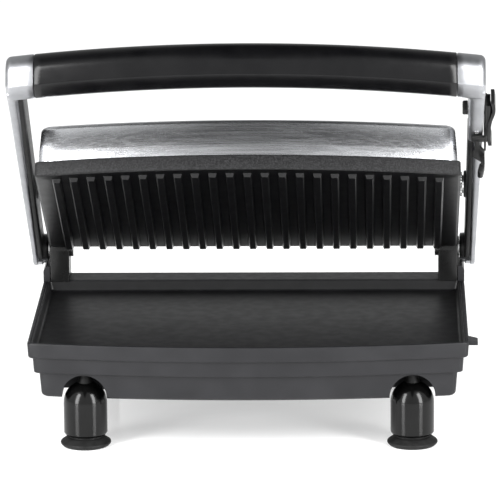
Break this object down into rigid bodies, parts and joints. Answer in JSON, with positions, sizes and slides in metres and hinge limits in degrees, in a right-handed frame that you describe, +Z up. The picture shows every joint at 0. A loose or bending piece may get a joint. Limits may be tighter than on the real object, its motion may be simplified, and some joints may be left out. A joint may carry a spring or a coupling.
{
  "type": "panini press",
  "caption": "Panini press: stepped tray base on domed legs, floating ribbed lid on two lift arms, bowed handle and a sliding side latch.",
  "frame": {"origin": "middle of the box's footprint, on the table surface under the rubber feet", "axes": "+X to the object's right as seen from the front, +Y to the back, +Z up; the long side lies along X"},
  "size_m": [0.3864, 0.2582, 0.3311],
  "materials": {
    "housing": "satin",
    "nonstick": "satin black non-stick coating",
    "cover_steel": "brushed",
    "arm_metal": "satin",
    "grip": "gloss",
    "leg_gloss": "high gloss",
    "black_plastic": "satin",
    "rubber": "matt",
    "fastener": "bright",
    "element": "oxidised",
    "shield": "mill",
    "ceramic": "matt",
    "lens_red": "gloss",
    "lens_green": "gloss"
  },
  "bodies": {
    "base": {"base_housing": "housing", "bottom_cover": "black_plastic", "lower_plate": "nonstick", "lower_heating_element": "element", "lower_heat_shield": "shield", "lower_thermostat": "ceramic", "thermal_fuse": "ceramic", "terminal_block": "ceramic", "cord_gland": "black_plastic", "left_hinge_post": "nonstick", "right_hinge_post": "nonstick", "hinge_pins": "fastener", "hinge_washers": "fastener", "front_leg_left": "leg_gloss", "front_leg_right": "leg_gloss", "rear_leg_left": "leg_gloss", "rear_leg_right": "leg_gloss", "foot_pads": "rubber", "leg_screws": "fastener", "base_screws": "fastener", "post_screws": "fastener"},
    "arms": {"left_arm": "arm_metal", "right_arm": "arm_metal", "left_arm_liner": "black_plastic", "right_arm_liner": "black_plastic", "handle_grip": "grip", "handle_core": "shield", "handle_screws": "fastener", "arm_screws": "fastener", "lid_pivot_washers": "fastener"},
    "lid": {"upper_plate": "nonstick", "lid_cover": "cover_steel", "left_lid_bracket": "black_plastic", "right_lid_bracket": "black_plastic", "lid_pivot_pins": "fastener", "upper_heating_element": "element", "upper_heat_shield": "shield", "upper_thermostat": "ceramic", "lid_screws": "fastener", "bracket_screws": "fastener", "power_light_lens": "lens_red", "ready_light_lens": "lens_green"},
    "latch": {"latch_thumb_grip": "black_plastic", "latch_hook": "black_plastic", "latch_shoe": "black_plastic", "latch_screw": "fastener"}
  },
  "joints": [
    {"name": "arm_lift", "type": "hinge", "parent": "base", "child": "arms", "pos_m": [-0.0044, 0.1105, 0.1137], "axis": [-1, 0, 0], "range_deg": [-44, 53]},
    {"name": "lid_tilt", "type": "hinge", "parent": "arms", "child": "lid", "pos_m": [-0.0044, 0.03098, 0.1853], "axis": [-1, 0, 0], "range_deg": [-15.8, 13.2]},
    {"name": "latch_slide", "type": "slide", "parent": "arms", "child": "latch", "axis": [0, -0.7431, 0.6691], "range_m": [0, 0.03]}
  ],
  "couplings": [
    {"joint": "lid_tilt", "follows": "arm_lift", "ratio": -0.29546}
  ]
}
